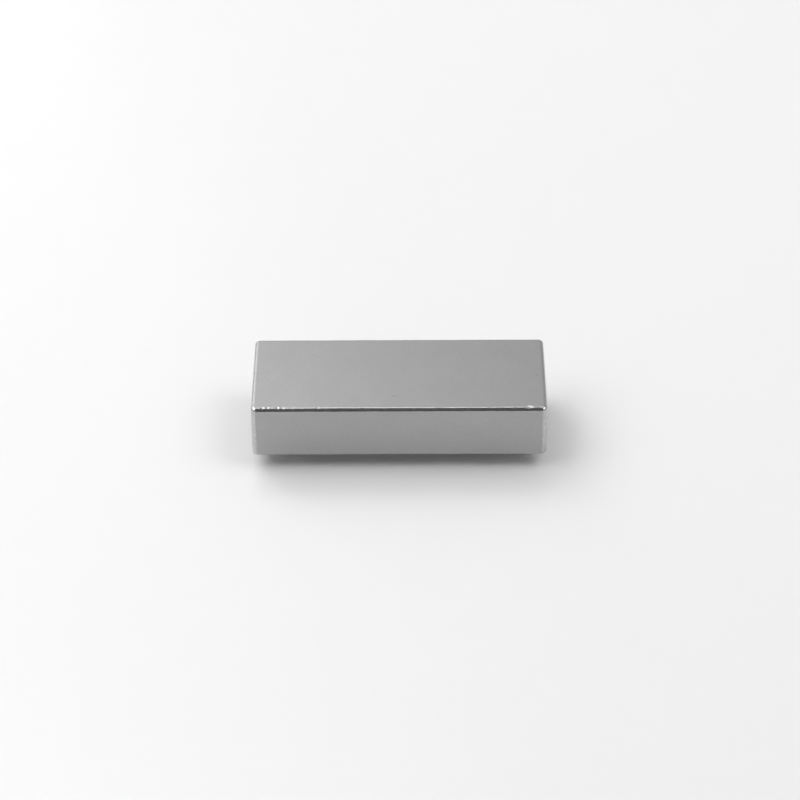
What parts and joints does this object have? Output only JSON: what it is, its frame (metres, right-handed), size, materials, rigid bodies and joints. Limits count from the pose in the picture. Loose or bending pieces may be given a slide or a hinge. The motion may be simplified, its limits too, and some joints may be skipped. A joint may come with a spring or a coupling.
{
  "type": "block magnet",
  "caption": "Nickel-plated rectangular block magnet with flat pole faces and tumbled, rounded edges.",
  "frame": {"origin": "middle of the lower pole face, which the magnet lies on", "axes": "+X along the length, +Y across the width towards the back, +Z through the thickness, out of the upper pole face"},
  "size_m": [0.05, 0.02, 0.01],
  "materials": {
    "nickel_plating": "satin"
  },
  "bodies": {
    "root": {"block_magnet": "nickel_plating"}
  },
  "joints": []
}
